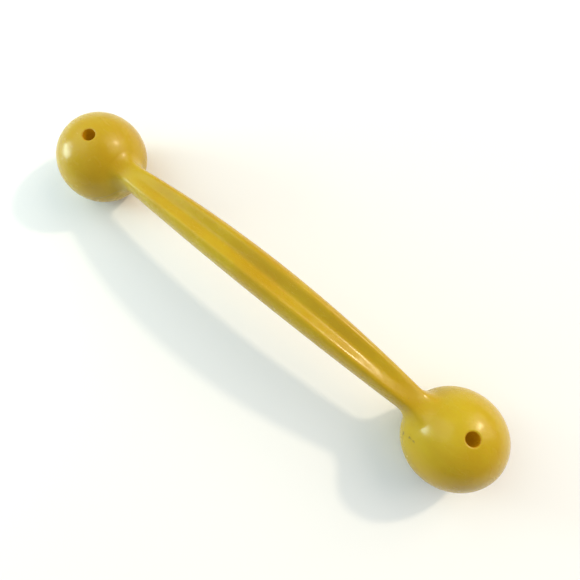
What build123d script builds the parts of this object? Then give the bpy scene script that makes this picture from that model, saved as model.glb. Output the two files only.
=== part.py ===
"""Screw-on bow handle with ball ends: two welded plastic half shells around two screw tubes.

Frame: millimetres, +X along the handle, +Z away from the surface the handle is screwed to,
origin on that surface, half-way between the two screw holes.
"""

from build123d import *
import bisect
import itertools
import math
import os

# ---- driving dimensions ----
HOLE_SPACING = 160.0  # centre to centre of the two screw holes
BALL_RADIUS = 16.75
FOOT_DROP = 14.25  # from a ball's centre back to the flat foot it stands on
FOOT_EDGE_ROUND = 0.6
SCREW_HOLE_RADIUS = 2.2
HOLE_MOUTH_ROUND = 0.5  # rounding of each hole's front edge
WALL = 2.6

# the bow between the balls: a full front arch and a half-ellipse behind it
NECK_X = 60.0  # where the bow is measured at its ends
RISE_MIDDLE = 11.75  # widest line above the balls' centres, at the middle
RISE_NECK = 5.2
HALF_WIDTH_MIDDLE = 6.8
HALF_WIDTH_NECK = 4.6
FRONT_DEPTH_MIDDLE = 7.4
FRONT_DEPTH_NECK = 7.2
FRONT_FULLNESS = 2.6  # exponent of the front arch: 2 is an ellipse, more is squarer
BACK_DEPTH_MIDDLE = 6.8
BACK_DEPTH_NECK = 4.4
BOW_END_X = 70.0  # buried in the balls
BOW_CORE_END_X = 56.0  # the hollow of the bow stops here and leaves the necks solid
BOW_STATION_GAP = 10.0
FRONT_SPANS = 40  # even spans of the curve across the front of a section
FINE_SPANS = 2000  # finer ones that they are picked from
NECK_FILLET = 7.0

# the groove along the front of the bow: a V between two ridges that fades out at the necks
RIDGE_Y_MIDDLE = 3.7
RIDGE_Y_NECK = 3.3
RIDGE_HEIGHT_MIDDLE = 6.75  # above the widest line
RIDGE_HEIGHT_NECK = 5.9
RIDGE_BLEND = 1.2
GROOVE_SLOPE = 0.73  # of the walls, at the middle
GROOVE_FADE_POWER = 3.0  # how late the walls flatten on the way to the necks
GROOVE_FLOOR_ROUND = 0.8

# the parting line: the balls' equators, then the bow's widest line
STEP_START_X = 72.0
STEP_END_X = 56.0
STEP_EASE = 6.0

# the tubes that take the clamping load of the screws
TUBE_OUTER_RADIUS = 4.2
TUBE_END_DEPTH = 4.8  # the tube starts this far below the top of the ball
TUBE_END_CHAMFER = 0.3
SOCKET_CLEARANCE = 0.05
COLLAR_RADIUS = 6.4
COLLAR_HEIGHT = 4.0

# locating pins moulded on the rear shell
PIN_RADIUS = 1.4
PIN_HEIGHT = 3.0
PIN_SOCKET_RADIUS = 1.5
PIN_SOCKET_DEPTH = 3.4
PIN_BOSS_RADIUS = 2.6
PIN_REACH = 11.2  # from the ball's centre
PIN_ANGLE = 60.0  # each side of the handle's end

# ---- derived ----
BALL_X = HOLE_SPACING / 2
BALL_TOP_Z = FOOT_DROP + BALL_RADIUS
CAVITY_RADIUS = BALL_RADIUS - WALL
TUBE_TOP_Z = BALL_TOP_Z - TUBE_END_DEPTH
SOCKET_RADIUS = TUBE_OUTER_RADIUS + SOCKET_CLEARANCE
BIG = 3 * HOLE_SPACING
ENDS = {"left": -1, "right": 1}


def along_bow(x, middle, neck):
    """A bow dimension at x, changing from middle to neck with the square of the distance."""
    return middle + (neck - middle) * (x / NECK_X) ** 2


def widest_z(x):
    return FOOT_DROP + along_bow(x, RISE_MIDDLE, RISE_NECK)


def front_rise(x, y, inset):
    """How far the front of the bow stands above its widest line at x, y."""
    across = min(1, abs(y) / (along_bow(x, HALF_WIDTH_MIDDLE, HALF_WIDTH_NECK) - inset))
    depth = along_bow(x, FRONT_DEPTH_MIDDLE, FRONT_DEPTH_NECK) - inset
    arch = depth * (1 - across**FRONT_FULLNESS) ** (1 / FRONT_FULLNESS)
    ridge_y = along_bow(x, RIDGE_Y_MIDDLE, RIDGE_Y_NECK)
    slope = GROOVE_SLOPE * max(0, 1 - abs(x / NECK_X) ** GROOVE_FADE_POWER)
    out = math.hypot(y, GROOVE_FLOOR_ROUND) - math.hypot(ridge_y, GROOVE_FLOOR_ROUND)
    groove = along_bow(x, RIDGE_HEIGHT_MIDDLE, RIDGE_HEIGHT_NECK) - inset + slope * out
    overlap = max(0, RIDGE_BLEND - abs(arch - groove))
    return min(arch, groove) - overlap**2 / (4 * RIDGE_BLEND)


def front_points(x, half_width, inset):
    """Points from +Y to -Y across the front of a section, the same distance apart."""
    places = [half_width * math.cos(math.pi * i / FINE_SPANS) for i in range(FINE_SPANS + 1)]
    outline = [(y, front_rise(x, y, inset)) for y in places]
    gaps = itertools.starmap(math.dist, itertools.pairwise(outline))
    run = list(itertools.accumulate(gaps, initial=0.0))
    steps = [run[-1] * i / FRONT_SPANS for i in range(FRONT_SPANS + 1)]
    return [outline[bisect.bisect_left(run, step)] for step in steps]


def bow_section(x, inset):
    """The closed section of the bow at x, or of the hollow in it."""
    half_width = along_bow(x, HALF_WIDTH_MIDDLE, HALF_WIDTH_NECK) - inset
    back = along_bow(x, BACK_DEPTH_MIDDLE, BACK_DEPTH_NECK) - inset
    points = front_points(x, half_width, inset)
    shares = [i / FRONT_SPANS for i in range(FRONT_SPANS + 1)]
    front_edge = Edge.make_spline(points, tangents=[(0, 1), (0, -1)], parameters=shares)
    back_edge = EllipticalCenterArc((0, 0), half_width, back, start_angle=180, arc_size=180)
    plane = Plane(origin=(x, 0, widest_z(x)), x_dir=(0, 1, 0), z_dir=(1, 0, 0))
    return plane * make_face([front_edge, back_edge])


def bow(end_x, inset=0.0):
    gaps = 2 * round(end_x / BOW_STATION_GAP)
    stations = [end_x * (2 * i / gaps - 1) for i in range(gaps + 1)]
    return loft([bow_section(x, inset) for x in stations])


def ball(end, radius):
    """One ball; its seam is turned away from the bow."""
    return Pos(end * BALL_X, 0, FOOT_DROP) * Rot(0, 0, 0 if end > 0 else 180) * Sphere(radius)


def above(z):
    return Pos(0, 0, z) * Box(BIG, BIG, BIG, align=(Align.CENTER, Align.CENTER, Align.MIN))


def rod(x, y, radius, bottom, top):
    upright = Cylinder(radius, top - bottom, align=(Align.CENTER, Align.CENTER, Align.MIN))
    return Pos(x, y, bottom) * upright


def outer_body():
    """The whole outside: balls, bow, blended necks and flat feet, as one solid."""
    body = ball(-1, BALL_RADIUS) + bow(BOW_END_X) + ball(1, BALL_RADIUS)
    necks = [e for e in body.edges() if NECK_X < abs(e.center().X) < STEP_START_X]
    body = fillet(necks, NECK_FILLET)
    body &= above(0)
    feet = [e for e in body.edges() if e.center().Z < FOOT_EDGE_ROUND]
    return fillet(feet, FOOT_EDGE_ROUND)


def hollow():
    """The spaces inside: one in each ball and one along the bow."""
    ball_cores = [ball(end, CAVITY_RADIUS) & above(WALL) for end in ENDS.values()]
    return [*ball_cores, bow(BOW_CORE_END_X, WALL)]


def front_side():
    """Everything in front of the parting line."""
    slope = 2 * (RISE_NECK - RISE_MIDDLE) * STEP_END_X / NECK_X**2
    step_z = widest_z(STEP_END_X)
    crown = Bezier((-STEP_END_X, step_z), (0, step_z - slope * STEP_END_X), (STEP_END_X, step_z))
    ease_z = step_z + slope * STEP_EASE
    steps = [
        Bezier(
            (side * STEP_END_X, step_z),
            (side * (STEP_END_X + STEP_EASE), ease_z),
            (side * (STEP_START_X - STEP_EASE), FOOT_DROP),
            (side * STEP_START_X, FOOT_DROP),
        )
        for side in ENDS.values()
    ]
    far = Polyline(
        (STEP_START_X, FOOT_DROP), (BIG, FOOT_DROP), (BIG, BIG), (-BIG, BIG), (-BIG, FOOT_DROP),
        (-STEP_START_X, FOOT_DROP),
    )
    outline = Plane.XZ * make_face([crown, *steps, far])
    return extrude(outline, BIG / 2, both=True)


def ring(x, y, outer, inner, bottom, top):
    return rod(x, y, outer, bottom, top) - rod(x, y, inner, bottom, top)


def pin_places():
    """The places of the locating pins, two in each ball, either side of its outer end."""
    angle = math.radians(PIN_ANGLE)
    reach_x = PIN_REACH * math.cos(angle)
    reach_y = PIN_REACH * math.sin(angle)
    return [(end * (BALL_X + reach_x), side * reach_y) for end in ENDS.values() for side in (-1, 1)]


def screw_holes():
    return [rod(end * BALL_X, 0, SCREW_HOLE_RADIUS, -WALL, BALL_TOP_Z) for end in ENDS.values()]


def front_shell(body, front, cores):
    """The half that shows: groove, ball fronts, tube sockets and the sockets of the pins."""
    shell = body & front
    for core in cores:
        shell -= core
    collar_bottom = TUBE_TOP_Z - COLLAR_HEIGHT
    for end in ENDS.values():
        shell += rod(end * BALL_X, 0, COLLAR_RADIUS, collar_bottom, BALL_TOP_Z) & body
        shell -= rod(end * BALL_X, 0, SOCKET_RADIUS, collar_bottom, TUBE_TOP_Z)
    for x, y in pin_places():
        shell += rod(x, y, PIN_BOSS_RADIUS, FOOT_DROP, BALL_TOP_Z) & body
        shell -= rod(x, y, PIN_SOCKET_RADIUS, FOOT_DROP, FOOT_DROP + PIN_SOCKET_DEPTH)
    for hole in screw_holes():
        shell -= hole
    top_edges = [e for e in shell.edges() if e.center().Z > BALL_TOP_Z - HOLE_MOUTH_ROUND]
    mouths = [e for e in top_edges if abs(e.center().X) > STEP_START_X]
    return fillet(mouths, HOLE_MOUTH_ROUND)


def rear_shell(body, front, cores):
    """The half against the wall: flat feet, tube sockets and the locating pins."""
    shell = body - front
    for core in cores:
        shell -= core
    for end in ENDS.values():
        collar = ring(end * BALL_X, 0, COLLAR_RADIUS, SOCKET_RADIUS, WALL, WALL + COLLAR_HEIGHT)
        shell += collar & body
    for x, y in pin_places():
        shell += rod(x, y, PIN_BOSS_RADIUS, 0, FOOT_DROP) & body
        shell += rod(x, y, PIN_RADIUS, FOOT_DROP, FOOT_DROP + PIN_HEIGHT)
    for hole in screw_holes():
        shell -= hole
    return shell


def screw_tube(end):
    """A tube from the rear shell's floor to the front shell's socket."""
    tube = ring(end * BALL_X, 0, TUBE_OUTER_RADIUS, SCREW_HOLE_RADIUS, WALL, TUBE_TOP_Z)
    circles = tube.edges().filter_by(GeomType.CIRCLE)
    return chamfer([e for e in circles if e.radius > SCREW_HOLE_RADIUS], TUBE_END_CHAMFER)


def main():
    body = outer_body()
    front = front_side()
    cores = hollow()
    parts = {
        "front_shell": front_shell(body, front, cores),
        "rear_shell": rear_shell(body, front, cores),
    }
    for name, end in ENDS.items():
        parts[f"{name}_screw_tube"] = screw_tube(end)
    os.makedirs("parts", exist_ok=True)
    for name, part in parts.items():
        export_step(part, f"parts/{name}.step")


if __name__ == "__main__":
    main()
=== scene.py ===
"""Screw-on bow handle with ball ends, in satin yellow plastic, on a plain pale floor."""

import math

import bpy
from mathutils import Matrix, Vector

MM = 0.001
HOLE_X = 80 * MM  # from the middle of the handle to each screw hole
HOLE_RADIUS = 2.2 * MM

# colours, linear
GOLD = (0.43, 0.270, 0.002, 1)
LEMON = (0.46, 0.320, 0.005, 1)
PALE = (0.74, 0.60, 0.10, 1)  # worn or chalky surface
GRIME = (0.17, 0.12, 0.02, 1)
BORE_SHADE_AND_GLOW = (0.36, 0.165, 0.001, 1)  # painted shade and glow of the bores, deep amber as if lit through the plastic walls
TUBE = (0.50, 0.28, 0.004, 1)
TUBE_LIGHT = (0.58, 0.36, 0.02, 1)
WARM = (1.0, 0.84, 0.58)
WARM_GLOW = (1.0, 0.84, 0.60)
COOL = (0.80, 1.0, 0.90)
COOL_GLOW = (0.82, 1.0, 0.94)
FLOOR_COLOUR = (0.77, 0.78, 0.82, 1)
SKY_DIM = (0.42, 0.42, 0.42, 1)
SKY_BRIGHT = (0.72, 0.77, 0.77, 1)

# sizes of the patterns in the plastic
CLOUD_SIZE = 22 * MM
FLOW_SIZE = (26 * MM, 1.6 * MM, 1.6 * MM)
SPECK_SIZE = 0.9 * MM
RUB_SIZE = 2.5 * MM
MARK_SIZE = 1.1 * MM
PATCH_SIZE = 14 * MM  # areas that are scratched or clear
SMEAR_SIZE = (9 * MM, 5 * MM, 7 * MM)
GRAIN_SIZE = 0.35 * MM
RIPPLE_SIZE = (11 * MM, 4 * MM, 4 * MM)
RING_SIZE = 3 * MM
EDGE_REACH = 0.5 * MM

# where a pattern starts and where it is full, with its lowest and highest value if not 0 and 1
COLOUR_STEP = (0.36, 0.64)
SPECK_STEP = (0.70, 0.78, 0.0, 0.30)
EDGE_STEP = (0.99, 0.85)
LIP_STEP = (HOLE_RADIUS + 3 * MM, HOLE_RADIUS + 1.5 * MM)
RUB_STEP = (0.35, 0.6, 0.3, 0.9)
SCRATCH_STEP = (0.012, 0.0)
PATCH_SOFTNESS = 0.08
MARK_STEP = (0.50, 0.60)
SCUFF_CORE = 0.3  # share of a scuff's reach that is at full strength
INSIDE_STEP = (HOLE_RADIUS + 0.3 * MM, HOLE_RADIUS + 0.05 * MM)
ROUGHNESS_STEP = (0.3, 0.7, 0.19, 0.29)
SKY_STEP = (-0.35, 0.9)

# strength of each effect
CLOUD_SHARE = 0.85
FLOW_SHARE = 0.15
SEAM_GRIME = 0.45
SCRATCH_PALENESS = 0.22
SCUFF_GRIME = 0.8
BORE_GLOW = 0.30
SCRATCH_ROUGHNESS = 0.12
EDGE_ROUGHNESS = 0.15
SPECULAR = 0.32
SUBSURFACE = 0.22
SUBSURFACE_COLOUR = (1.0, 0.55, 0.06)
SUBSURFACE_DEPTH = 2 * MM
RIPPLE_DEPTH = 0.025 * MM
GRAIN_DEPTH = 0.006 * MM
SCRATCH_DEPTH = 0.010 * MM
RING_DEPTH = 0.15 * MM

# length, width, turn and rarity of the two sets of scratches
LONG_SCRATCHES = (9 * MM, 0.45 * MM, (0.2, 0.1, 0.5), 0.50)
SHORT_SCRATCHES = (6 * MM, 0.40 * MM, (0.1, 0.4, -0.8), 0.54)
SMEAR_TURN = (0.3, 0.5, 0.2)

# place and reach of the scuffs on the right ball, in millimetres
SCUFFS = (
    ((67.8, -9.9, 20.1), 1.5),
    ((66.2, -9.3, 16.2), 1.2),
    ((69.0, -10.4, 21.5), 0.9),
)

FLOOR_HALF = 3.0  # metres
FLOOR_Z = -0.02 * MM  # clear of the feet
FLOOR_ROUGHNESS = 0.8

SENSOR_WIDTH = 36.0
LENS = 31.94
SHIFT_X = 0.0690  # the photograph's optical axis lies left of its middle
SHIFT_Y = -0.0069
CLIP_START = 0.01
CAMERA_PLACE = (29.35, -36.79, 190.44)  # millimetres
CAMERA_RIGHT = (0.7662, 0.6423, -0.0215)
CAMERA_FORWARD = (-0.1826, 0.1855, -0.9655)

WINDOW_SIDE = (-0.88, -0.18, 0.44)  # the side of the room that is brightest

# inputs and output of a colour Mix node
SHARE, FIRST, SECOND = 0, 6, 7
MIXED = 2

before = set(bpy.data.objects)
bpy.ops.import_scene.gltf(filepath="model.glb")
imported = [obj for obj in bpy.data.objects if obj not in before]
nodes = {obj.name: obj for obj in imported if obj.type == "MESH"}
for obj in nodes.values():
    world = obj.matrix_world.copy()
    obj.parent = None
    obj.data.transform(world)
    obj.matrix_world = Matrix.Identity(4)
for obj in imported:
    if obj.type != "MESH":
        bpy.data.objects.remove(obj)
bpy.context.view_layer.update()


class Graph:
    """A material's node tree and short ways to add to it."""

    def __init__(self, name):
        self.material = bpy.data.materials.new(name)
        self.material.use_nodes = True
        self.tree = self.material.node_tree
        self.shader = self.tree.nodes["Principled BSDF"]
        self.place = self.tree.nodes.new("ShaderNodeTexCoord").outputs["Object"]

    def add(self, kind, settings, values):
        """A new node; each value is a number, a colour or another node's output."""
        node = self.tree.nodes.new("ShaderNode" + kind)
        for key, value in settings.items():
            setattr(node, key, value)
        for key, value in values.items():
            self.put(node.inputs[key], value)
        return node

    def put(self, socket, value):
        if isinstance(value, bpy.types.NodeSocket):
            self.tree.links.new(value, socket)
        else:
            socket.default_value = value

    def surface(self, name, value):
        """Sets one input of the material's shader."""
        self.put(self.shader.inputs[name], value)

    def math(self, operation, *values):
        return self.add("Math", {"operation": operation}, dict(enumerate(values))).outputs[0]

    def step(self, value, start, end, low=0.0, high=1.0):
        """low where value is at start or before, high from end on, smooth in between."""
        settings = {"interpolation_type": "SMOOTHSTEP"}
        values = dict(enumerate((value, start, end, low, high)))
        return self.add("MapRange", settings, values).outputs[0]

    def stretched(self, size, turn=(0, 0, 0)):
        """The place in the object, counted in steps of the size's three lengths."""
        x, y, z = size
        values = {"Vector": self.place, "Rotation": turn, "Scale": (1 / x, 1 / y, 1 / z)}
        return self.add("Mapping", {}, values).outputs[0]

    def noise(self, vector, scale=1.0, detail=2.0):
        values = {"Vector": vector, "Scale": scale, "Detail": detail}
        return self.add("TexNoise", {}, values).outputs[0]

    def mix(self, share, first, second):
        """The second colour where share is 1, the first where it is 0."""
        values = {SHARE: share, FIRST: first, SECOND: second}
        return self.add("Mix", {"data_type": "RGBA"}, values).outputs[MIXED]

    def bump(self, height, depth, normal=None):
        """The surface raised by up to depth metres where height is 1."""
        values = {"Strength": 1.0, "Distance": depth, "Height": height}
        if normal:
            values["Normal"] = normal
        return self.add("Bump", {}, values).outputs[0]

    def edges(self, reach):
        """1 on sharp edges, 0 further than reach from them."""
        rounded = self.add("Bevel", {"samples": 6}, {"Radius": reach}).outputs[0]
        true = self.tree.nodes.new("ShaderNodeNewGeometry").outputs["Normal"]
        settings = {"operation": "DOT_PRODUCT"}
        likeness = self.add("VectorMath", settings, {0: rounded, 1: true}).outputs["Value"]
        return self.step(likeness, *EDGE_STEP)

    def from_bore(self):
        """Distance from the nearer screw hole's axis."""
        x, y, _ = self.add("SeparateXYZ", {}, {0: self.place}).outputs
        across = self.math("SUBTRACT", self.math("ABSOLUTE", x), HOLE_X)
        squares = self.math("ADD", self.math("POWER", across, 2), self.math("POWER", y, 2))
        return self.math("SQRT", squares)

    def near(self, point, reach):
        """1 at a point, 0 further than reach from it."""
        settings = {"operation": "DISTANCE"}
        gap = self.add("VectorMath", settings, {0: self.place, 1: point}).outputs["Value"]
        return self.step(gap, reach, SCUFF_CORE * reach)


def hairlines(graph, length, width, turn, rarity):
    """Thin scratches, all in one direction: 1 on a scratch, 0 elsewhere."""
    lines = graph.noise(graph.stretched((length, width, width), turn), detail=0.0)
    patches = graph.noise(graph.place, scale=1 / PATCH_SIZE, detail=1.0)
    from_line = graph.math("ABSOLUTE", graph.math("SUBTRACT", lines, 0.5))
    thin = graph.step(from_line, *SCRATCH_STEP)
    return graph.math("MULTIPLY", thin, graph.step(patches, rarity, rarity + PATCH_SOFTNESS))


def moulded_plastic(name, body, light, scuffs=()):
    """Satin plastic with its colour uneven, its edges worn and fine scratches all over; the bores
    get painted shade and a painted glow.
    """
    graph = Graph(name)

    cloud = graph.noise(graph.place, scale=1 / CLOUD_SIZE, detail=3.0)
    flow = graph.noise(graph.stretched(FLOW_SIZE), detail=2.0)
    clouded = graph.math("MULTIPLY", cloud, CLOUD_SHARE)
    uneven = graph.math("ADD", clouded, graph.math("MULTIPLY", flow, FLOW_SHARE))
    colour = graph.mix(graph.step(uneven, *COLOUR_STEP), body, light)

    speckle = graph.noise(graph.place, scale=1 / SPECK_SIZE, detail=2.0)
    colour = graph.mix(graph.step(speckle, *SPECK_STEP), colour, GRIME)

    # paler lips round the holes, and grime along the line where the shells meet
    edges = graph.edges(EDGE_REACH)
    bore = graph.from_bore()
    at_hole = graph.step(bore, *LIP_STEP)
    lip = graph.math("MULTIPLY", edges, at_hole)
    seam = graph.math("MULTIPLY", edges, graph.math("SUBTRACT", 1.0, at_hole))
    rub = graph.noise(graph.place, scale=1 / RUB_SIZE, detail=3.0)
    rubbed = graph.step(rub, *RUB_STEP)
    colour = graph.mix(graph.math("MULTIPLY", lip, rubbed), colour, PALE)
    colour = graph.mix(graph.math("MULTIPLY", seam, SEAM_GRIME), colour, GRIME)

    long_lines = hairlines(graph, *LONG_SCRATCHES)
    short_lines = hairlines(graph, *SHORT_SCRATCHES)
    scratches = graph.math("MAXIMUM", long_lines, short_lines)
    colour = graph.mix(graph.math("MULTIPLY", scratches, SCRATCH_PALENESS), colour, PALE)

    marks = graph.step(graph.noise(graph.place, scale=1 / MARK_SIZE, detail=3.0), *MARK_STEP)
    for point, reach in scuffs:
        mark = graph.math("MULTIPLY", graph.near(Vector(point) * MM, reach * MM), marks)
        colour = graph.mix(graph.math("MULTIPLY", mark, SCUFF_GRIME), colour, GRIME)

    # inside the bores the colour is painted shade, deep amber, with a painted glow added below
    inside = graph.step(bore, *INSIDE_STEP)
    graph.surface("Base Color", graph.mix(inside, colour, BORE_SHADE_AND_GLOW))

    # a painted glow in the bores stands in for the light that comes through the walls of the balls
    graph.surface("Emission Color", BORE_SHADE_AND_GLOW)
    graph.surface("Emission Strength", graph.math("MULTIPLY", inside, BORE_GLOW))

    smears = graph.noise(graph.stretched(SMEAR_SIZE, SMEAR_TURN), detail=3.0)
    roughness = graph.step(smears, *ROUGHNESS_STEP)
    scratched = graph.math("MULTIPLY", scratches, SCRATCH_ROUGHNESS)
    worn = graph.math("ADD", scratched, graph.math("MULTIPLY", edges, EDGE_ROUGHNESS))
    graph.surface("Roughness", graph.math("ADD", roughness, worn))
    graph.surface("Specular IOR Level", SPECULAR)
    graph.surface("Subsurface Weight", SUBSURFACE)
    graph.surface("Subsurface Radius", SUBSURFACE_COLOUR)
    graph.surface("Subsurface Scale", SUBSURFACE_DEPTH)

    grain = graph.noise(graph.place, scale=1 / GRAIN_SIZE, detail=1.0)
    ripple = graph.noise(graph.stretched(RIPPLE_SIZE), detail=1.0)
    normal = graph.bump(ripple, RIPPLE_DEPTH)
    normal = graph.bump(grain, GRAIN_DEPTH, normal)
    normal = graph.bump(graph.math("SUBTRACT", 0.0, scratches), SCRATCH_DEPTH, normal)
    bands = {"Vector": graph.place, "Scale": 1 / RING_SIZE}
    rings = graph.add("TexWave", {"bands_direction": "Z"}, bands).outputs["Fac"]
    rings = graph.math("MULTIPLY", rings, inside)
    graph.surface("Normal", graph.bump(rings, RING_DEPTH, normal))
    return graph.material


def dress():
    """Every node keeps its own shape and gets its material."""
    yellow = moulded_plastic("yellow_plastic", GOLD, LEMON, SCUFFS)
    tube = moulded_plastic("tube_plastic", TUBE, TUBE_LIGHT)
    for name, node in nodes.items():
        node.data.materials.clear()
        node.data.materials.append(tube if name.endswith("tube") else yellow)


def stage():
    """A plain pale floor."""
    mesh = bpy.data.meshes.new("floor")
    sides = ((-1, -1), (1, -1), (1, 1), (-1, 1))
    corners = [(x * FLOOR_HALF, y * FLOOR_HALF, FLOOR_Z) for x, y in sides]
    mesh.from_pydata(corners, [], [(0, 1, 2, 3)])
    floor = bpy.data.objects.new("floor", mesh)
    bpy.context.scene.collection.objects.link(floor)
    material = bpy.data.materials.new("floor")
    material.use_nodes = True
    shader = material.node_tree.nodes["Principled BSDF"]
    shader.inputs["Base Color"].default_value = FLOOR_COLOUR
    shader.inputs["Roughness"].default_value = FLOOR_ROUGHNESS
    mesh.materials.append(material)


def camera():
    data = bpy.data.cameras.new("camera")
    data.sensor_width = SENSOR_WIDTH
    data.lens = LENS
    data.shift_x = SHIFT_X
    data.shift_y = SHIFT_Y
    data.clip_start = CLIP_START
    cam = bpy.data.objects.new("camera", data)
    right = Vector(CAMERA_RIGHT).normalized()
    forward = Vector(CAMERA_FORWARD).normalized()
    up = right.cross(forward)
    turn = Matrix((right, up, -forward)).transposed().to_4x4()
    cam.matrix_world = Matrix.Translation(Vector(CAMERA_PLACE) * MM) @ turn
    bpy.context.scene.collection.objects.link(cam)
    bpy.context.scene.camera = cam


def soft_light(name, direction, distance, size, strength, colour):
    """A square area light; strength is what a surface that faces it receives, 1 = pi."""
    data = bpy.data.lights.new(name, "AREA")
    data.shape = "SQUARE"
    data.size = size
    data.energy = strength * (math.pi * distance) ** 2
    data.color = colour
    light = bpy.data.objects.new(name, data)
    light.location = Vector(direction).normalized() * distance
    light.rotation_mode = "QUATERNION"
    light.rotation_quaternion = light.location.to_track_quat("Z", "Y")
    bpy.context.scene.collection.objects.link(light)


def sky():
    """An even room, brighter and cooler on the side of the window."""
    world = bpy.data.worlds.new("world")
    bpy.context.scene.world = world
    world.use_nodes = True
    tree = world.node_tree
    direction = tree.nodes.new("ShaderNodeTexCoord").outputs["Generated"]
    towards = tree.nodes.new("ShaderNodeVectorMath")
    towards.operation = "DOT_PRODUCT"
    tree.links.new(direction, towards.inputs[0])
    towards.inputs[1].default_value = Vector(WINDOW_SIDE).normalized()
    spread = tree.nodes.new("ShaderNodeMapRange")
    spread.interpolation_type = "SMOOTHSTEP"
    spread.inputs["From Min"].default_value, spread.inputs["From Max"].default_value = SKY_STEP
    tree.links.new(towards.outputs["Value"], spread.inputs["Value"])
    tint = tree.nodes.new("ShaderNodeMix")
    tint.data_type = "RGBA"
    tint.inputs[FIRST].default_value = SKY_DIM
    tint.inputs[SECOND].default_value = SKY_BRIGHT
    tree.links.new(spread.outputs[0], tint.inputs[SHARE])
    tree.links.new(tint.outputs[MIXED], tree.nodes["Background"].inputs[0])


def lighting():
    """Two small lights for the highlights, each with a broad one of its own tint round it."""
    sky()
    lamp = (0.293, 0.680, 0.672)
    lamp_glow = (0.34, 0.66, 0.67)
    window = (-0.87, -0.45, 0.24)
    window_glow = (-0.65, -0.17, 0.74)
    soft_light("lamp", lamp, distance=1.2, size=0.08, strength=0.36, colour=WARM)
    soft_light("lamp_glow", lamp_glow, distance=1.2, size=1.0, strength=0.60, colour=WARM_GLOW)
    soft_light("window", window, distance=0.42, size=0.14, strength=0.54, colour=COOL)
    soft_light("window_glow", window_glow, distance=1.2, size=1.0, strength=0.28, colour=COOL_GLOW)
    bpy.context.scene.view_settings.view_transform = "Standard"


dress()
stage()
camera()
lighting()
